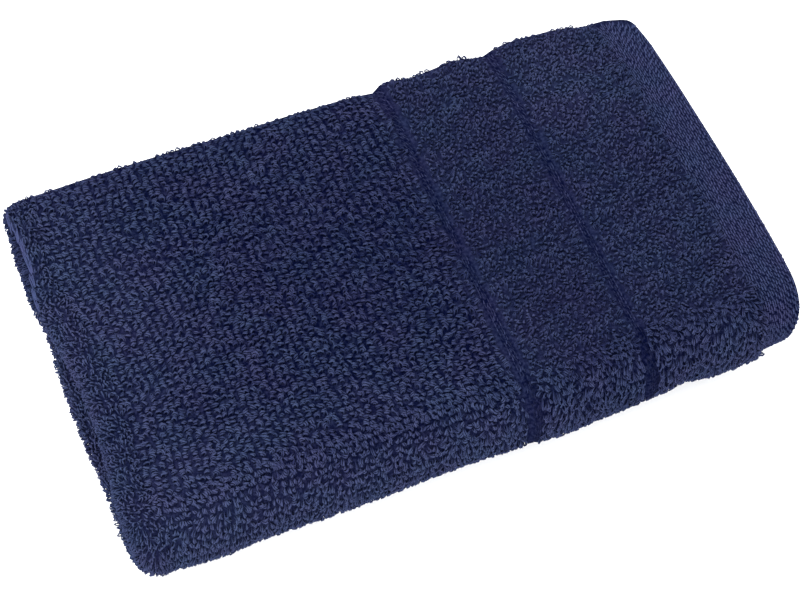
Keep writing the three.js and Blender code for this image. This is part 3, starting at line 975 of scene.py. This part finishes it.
# Half width of a thread as a share of its length in the row, and the spread of its place and sizes
THREAD_FILL = 0.54
THREAD_SPREAD = Values(along=0.1, across=0.3, turn=0.14, height=0.06, fill=0.07, radius=0.09, tone=0.12)
# How far the threads' crowns stand over the floor of the hem and border lines
HEM_STAND = (HEM - HEM_FLOOR) / 2 + 0.15
LINE_STAND = (LINE - LINE_FLOOR) / 2
HEM_ROWS = (0.7, HEM_WIDTH + 0.4)
LINE_ROW_PITCH = 0.9

# Threads along the bare ridge, in rows counted in half widths of the parting
RIDGE_THREAD = 4.6
RIDGE_ROWS = (-0.9, -0.3, 0.3, 0.9)
RIDGE_RUN = (0.1 * CLOTH_WIDTH, CLOTH_WIDTH - 1.5)
RIDGE_OPENING = 0.4
RIDGE_FILL = 0.75
RIDGE_TONE = 0.88
RIDGE_SPREAD = Values(across=0.4, row=0.15, turn=0.12, tone=0.12)


def straight_yarns(along, across, height, radius, tone, slant, **shape):
    """Yarns on the outside of the cloth that neither lean nor curl, and are not wound."""
    still = np.zeros(len(along))
    return Values(
        along=along, across=across, side=still + OUTER, lean_along=still, lean_across=still, curl=still,
        wind=still, height=still + height, radius=still + radius, tone=np.clip(tone, 0.0, 1.0),
        slant=still + slant, **shape)


def woven_threads(name, material, rows, stand, lightness, front_shade, radius, root_shade_tone):
    """Rows of short threads at places along the cloth, standing a little over its ground."""
    last = CLOTH_WIDTH - THREAD_MARGIN
    places = np.arange(THREAD_MARGIN, last, THREAD_LENGTH)
    along, across = np.meshgrid(rows, places, indexing="ij")
    shift = (np.arange(len(rows)) % 2 * THREAD_LENGTH / 2)[:, None]
    noise = randomness.normal(size=(5, along.size))
    along = along.ravel() + THREAD_SPREAD.along * noise[0]
    across = (across + shift).ravel() + THREAD_SPREAD.across * noise[1]
    inside = across < last
    along = along[inside]
    across = across[inside]
    noise = noise[:, inside]
    thick = radius * (1 + THREAD_SPREAD.radius * noise[4])
    tone = lightness - front_shade * on_front(across) + THREAD_SPREAD.tone * noise[3]
    yarns = straight_yarns(
        along, across, radius=thick, tone=tone, slant=SLANT,
        twist=THREAD_TURN + THREAD_SPREAD.turn * noise[3],
        height=stand - thick + THREAD_SPREAD.height * noise[2],
        half_width=THREAD_LENGTH * (THREAD_FILL + THREAD_SPREAD.fill * noise[2]))
    return sweep(name, material, yarns, rings=5, sides=3, strands=1, base_drop=0.25, root_shade_tone=root_shade_tone)


def hem_threads(material):
    rows = np.arange(*HEM_ROWS, THREAD_PITCH)
    return woven_threads("hem_weave", material, rows, HEM_STAND, lightness=0.82, front_shade=0.0,
                         radius=0.47, root_shade_tone=0.22)


def line_threads(material):
    offsets = np.arange(-1, 2) * LINE_ROW_PITCH
    rows = np.concatenate([place + offsets for place in LINE_PLACES])
    # Threads of the border lines are set dark as painted shade in the channels between the taller pile,
    # darker still on the front
    return woven_threads("line_weave", material, rows, LINE_STAND, lightness=0.42, front_shade=0.42,
                         radius=0.36, root_shade_tone=0.3)


def ridge_threads(material):
    """Long threads along the bare ridge where the pile parts on the first fold."""
    places = np.arange(*RIDGE_RUN, RIDGE_THREAD)
    row, across = np.meshgrid(RIDGE_ROWS, places, indexing="ij")
    noise = randomness.normal(size=(4, row.size))
    across = across.ravel() + RIDGE_SPREAD.across * noise[0]
    turn = parted_turn(across) + HALF_PARTING * (row.ravel() + RIDGE_SPREAD.row * noise[1])
    shown = between(PARTINGS, across / CLOTH_WIDTH) > RIDGE_OPENING
    along = (OUTER_RUN + FIRST_RADIUS * turn)[shown]
    yarns = straight_yarns(
        along, across[shown], height=0.12, radius=0.30, slant=0.0,
        tone=RIDGE_TONE + RIDGE_SPREAD.tone * noise[3][shown],
        twist=math.pi / 2 + RIDGE_SPREAD.turn * noise[2][shown],
        half_width=np.full(len(along), RIDGE_FILL * RIDGE_THREAD))
    return sweep("ridge_weave", material, yarns, rings=7, sides=4, strands=1, base_drop=0.3,
                 root_shade_tone=0.6)


# Camera, light and floor: lengths in metres, the sensor's width in millimetres

CAMERA_PLACE = Vector((-0.2140, -0.3648, 0.7434))
CAMERA_AZIMUTH = math.radians(30.41)
CAMERA_ELEVATION = math.radians(60.15)
CAMERA_ROLL = math.radians(8.27)
FOCAL_PIXELS = 2364
IMAGE_WIDTH = 800
SENSOR = 36
FLOOR_REACH = 3.0
# Soft lights over the cloth: name, place, width, power in watts
LIGHTS = [("key", (-0.5, 0.35, 1.5), 0.8, 30), ("fill", (-0.6, -1.1, 1.0), 1.0, 26)]
LIGHT_AIM = Vector((0.0, 0.0, 0.02))


def add_camera():
    camera = new_object("camera", bpy.data.cameras.new("camera"))
    level = math.cos(CAMERA_ELEVATION)
    forward = Vector((math.sin(CAMERA_AZIMUTH) * level, math.cos(CAMERA_AZIMUTH) * level,
                      -math.sin(CAMERA_ELEVATION)))
    right = forward.cross(Vector((0, 0, 1))).normalized()
    upright = right.cross(forward)
    turned_right = right * math.cos(CAMERA_ROLL) + upright * math.sin(CAMERA_ROLL)
    turned_up = upright * math.cos(CAMERA_ROLL) - right * math.sin(CAMERA_ROLL)
    rotation = Matrix((turned_right, turned_up, -forward)).transposed()
    camera.matrix_world = Matrix.Translation(CAMERA_PLACE) @ rotation.to_4x4()
    camera.data.sensor_width = SENSOR
    camera.data.lens = SENSOR * FOCAL_PIXELS / IMAGE_WIDTH
    camera.data.clip_start = 0.01
    camera.data.clip_end = 20
    bpy.context.scene.camera = camera


def add_light(name, place, width, power):
    light = bpy.data.lights.new(name, "AREA")
    light.shape = "DISK"
    light.size = width
    light.energy = power
    lamp = new_object(name, light)
    lamp.location = place
    lamp.rotation_euler = (LIGHT_AIM - Vector(place)).to_track_quat("-Z", "Y").to_euler()


def light_studio():
    world = bpy.data.worlds.new("studio")
    world.use_nodes = True
    background = world.node_tree.nodes["Background"]
    set_inputs(background, {"Color": (0.95, 0.97, 1.0, 1.0), "Strength": 1.35})
    bpy.context.scene.world = world
    for name, place, width, power in LIGHTS:
        add_light(name, place, width, power)
    view = bpy.context.scene.view_settings
    view.view_transform = "Standard"
    view.look = "None"


def add_floor():
    mesh = bpy.data.meshes.new("floor")
    corners = [(-1, -1), (1, -1), (1, 1), (-1, 1)]
    mesh.from_pydata([(x * FLOOR_REACH, y * FLOOR_REACH, 0) for x, y in corners], [], [(0, 1, 2, 3)])
    floor = new_object("floor", mesh)
    material, shader = new_material("pale_floor")
    set_inputs(shader, {"Base Color": (0.9, 0.9, 0.9, 1.0), "Roughness": 0.9})
    mesh.materials.append(material)


add_camera()
light_studio()
add_floor()
yarn = yarn_material()
weave = weave_material()
ground = ground_cloth(weave)
pile = terry_pile(yarn)
threads = hem_threads(weave) + line_threads(weave) + ridge_threads(weave)
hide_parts(NODE)
